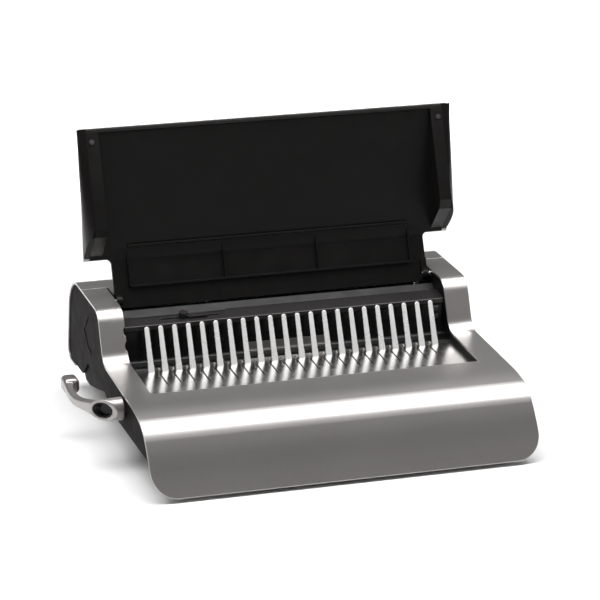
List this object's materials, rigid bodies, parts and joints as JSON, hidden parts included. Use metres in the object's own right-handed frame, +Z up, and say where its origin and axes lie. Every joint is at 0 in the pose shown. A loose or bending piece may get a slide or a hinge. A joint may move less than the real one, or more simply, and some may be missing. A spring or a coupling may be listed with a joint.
{
  "type": "comb binding machine",
  "caption": "Desktop electric comb binding machine with a raised lid, slotted bright deck, a row of comb fingers, a rear punch throat and a side lever.",
  "frame": {"origin": "on the table top, midway between the foot of the front apron and the rear wall, on the machine's middle plane", "axes": "+X to the operator's right, +Y to the back, +Z up"},
  "size_m": [0.4347, 0.365, 0.295],
  "materials": {
    "silver_sheet": "silver-grey metallic satin paint",
    "charcoal_plastic": "fine-textured charcoal",
    "base_plastic": "moulded black",
    "black_plastic": "semi-gloss black",
    "foot_rubber": "matt black",
    "zinc_screw": "zinc-plated",
    "zinc_plate": "zinc-plated sheet",
    "turned_steel": "turned",
    "polished_steel": "polished",
    "bright_steel": "bright plated",
    "cheek_plastic": "satin black",
    "trough_gloss": "gloss black",
    "circuit_board": "green solder mask",
    "dark_satin_metal": "dark satin",
    "guide_plastic": "semi-gloss black",
    "key_plastic": "dark grey",
    "satin_strip": "satin grey",
    "tool_steel": "ground tool steel",
    "gear_plastic": "natural acetal",
    "bronze_bush": "sintered bronze",
    "motor_can": "nickel-plated can",
    "tray_plastic": "moulded charcoal",
    "supply_case": "plain sheet",
    "rocker_plastic": "gloss black",
    "lid_plastic": "satin black-brown",
    "gloss_black": "gloss black",
    "cast_grey": "die-cast, light grey satin"
  },
  "bodies": {
    "body": {"front_shell": "silver_sheet", "rear_cover": "silver_sheet", "side_panel_left": "charcoal_plastic", "side_panel_right": "charcoal_plastic", "base_pan": "base_plastic", "carry_grips": "base_plastic", "rubber_feet": "foot_rubber", "fixing_screws": "zinc_screw", "frame_plate_left": "zinc_plate", "frame_plate_right": "zinc_plate", "tie_rods": "turned_steel", "deck_plate": "polished_steel", "comb_fingers": "bright_steel", "finger_rail": "zinc_plate", "guide_rods": "turned_steel", "cheek_left": "cheek_plastic", "cheek_right": "cheek_plastic", "recess_trim": "cheek_plastic", "trough_wall": "trough_gloss", "trough_strip": "satin_strip", "comb_gauge": "charcoal_plastic", "button_board": "circuit_board", "throat_bar": "dark_satin_metal", "die_plate": "tool_steel", "stripper_plate": "tool_steel", "paper_stop": "dark_satin_metal", "rear_guide": "dark_satin_metal", "punch_guides": "turned_steel", "shaft_bearings": "bronze_bush", "drive_motor": "motor_can", "control_board": "circuit_board", "board_bracket": "zinc_plate", "power_supply": "supply_case", "power_inlet": "black_plastic", "switch_housing": "black_plastic", "hinge_brackets": "zinc_plate", "hinge_pins": "turned_steel", "idler_pins": "turned_steel"},
    "lid": {"lid_frame": "lid_plastic", "lid_cover": "silver_sheet", "lid_caps": "gloss_black", "lid_bumpers": "foot_rubber"},
    "lever": {"lever": "cast_grey", "lever_cap": "black_plastic", "lever_drive": "turned_steel"},
    "idlers": {"idler_gears": "gear_plastic"},
    "hooks": {"hook_carrier": "zinc_plate", "hook_racks": "turned_steel"},
    "edge_guide": {"edge_guide": "guide_plastic"},
    "punch_button": {"punch_button": "key_plastic"},
    "reverse_button": {"reverse_button": "key_plastic"},
    "power_switch": {"switch_rocker": "rocker_plastic"},
    "chip_tray": {"chip_tray": "tray_plastic"},
    "punch": {"punch_pins": "bright_steel", "punch_bar": "tool_steel", "pin_keeper": "zinc_plate"},
    "camshaft": {"camshaft": "turned_steel", "cams": "tool_steel", "cam_gear": "gear_plastic"},
    "motor_rotor": {"motor_pinion": "bronze_bush"}
  },
  "joints": [
    {"name": "lid_hinge", "type": "hinge", "parent": "body", "child": "lid", "pos_m": [0, 0.079, 0.12], "axis": [1, 0, 0], "range_deg": [0, 114]},
    {"name": "lever_turn", "type": "hinge", "parent": "body", "child": "lever", "pos_m": [-0.2, -0.063, 0.057], "axis": [1, 0, 0], "range_deg": [0, 119.57]},
    {"name": "idler_turn", "type": "hinge", "parent": "body", "child": "idlers", "pos_m": [0.1835, -0.04749, 0.04889], "axis": [1, 0, 0], "range_deg": [-229.3, 0]},
    {"name": "hook_slide", "type": "slide", "parent": "body", "child": "hooks", "axis": [0, -0.999, -0.0454], "range_m": [0, 0.0241]},
    {"name": "edge_guide_slide", "type": "slide", "parent": "body", "child": "edge_guide", "axis": [1, 0, 0], "range_m": [-0.018, 0.018]},
    {"name": "punch_button_press", "type": "slide", "parent": "body", "child": "punch_button", "axis": [0, 1, 0], "range_m": [0, 0.002], "stiffness_N_per_m": 600},
    {"name": "reverse_button_press", "type": "slide", "parent": "body", "child": "reverse_button", "axis": [0, 1, 0], "range_m": [0, 0.002], "stiffness_N_per_m": 600},
    {"name": "power_switch_rock", "type": "hinge", "parent": "body", "child": "power_switch", "pos_m": [0.096, 0.177, 0.058], "axis": [0, 0, 1], "range_deg": [-7, 7]},
    {"name": "chip_tray_slide", "type": "slide", "parent": "body", "child": "chip_tray", "axis": [0, 1, 0], "range_m": [0, 0.118]},
    {"name": "punch_stroke", "type": "slide", "parent": "body", "child": "punch", "axis": [0, -1, 0], "range_m": [0, 0.01]},
    {"name": "camshaft_turn", "type": "hinge", "parent": "body", "child": "camshaft", "pos_m": [0, 0.122, 0.07], "axis": [1, 0, 0], "continuous": true},
    {"name": "motor_turn", "type": "hinge", "parent": "body", "child": "motor_rotor", "pos_m": [0.166, 0.13803, 0.1039], "axis": [1, 0, 0], "continuous": true}
  ],
  "couplings": [
    {"joint": "idler_turn", "follows": "lever_turn", "ratio": -1.9167},
    {"joint": "hook_slide", "follows": "lever_turn", "m_per_rad": 0.0115},
    {"joint": "motor_turn", "follows": "camshaft_turn", "ratio": -5.25}
  ]
}
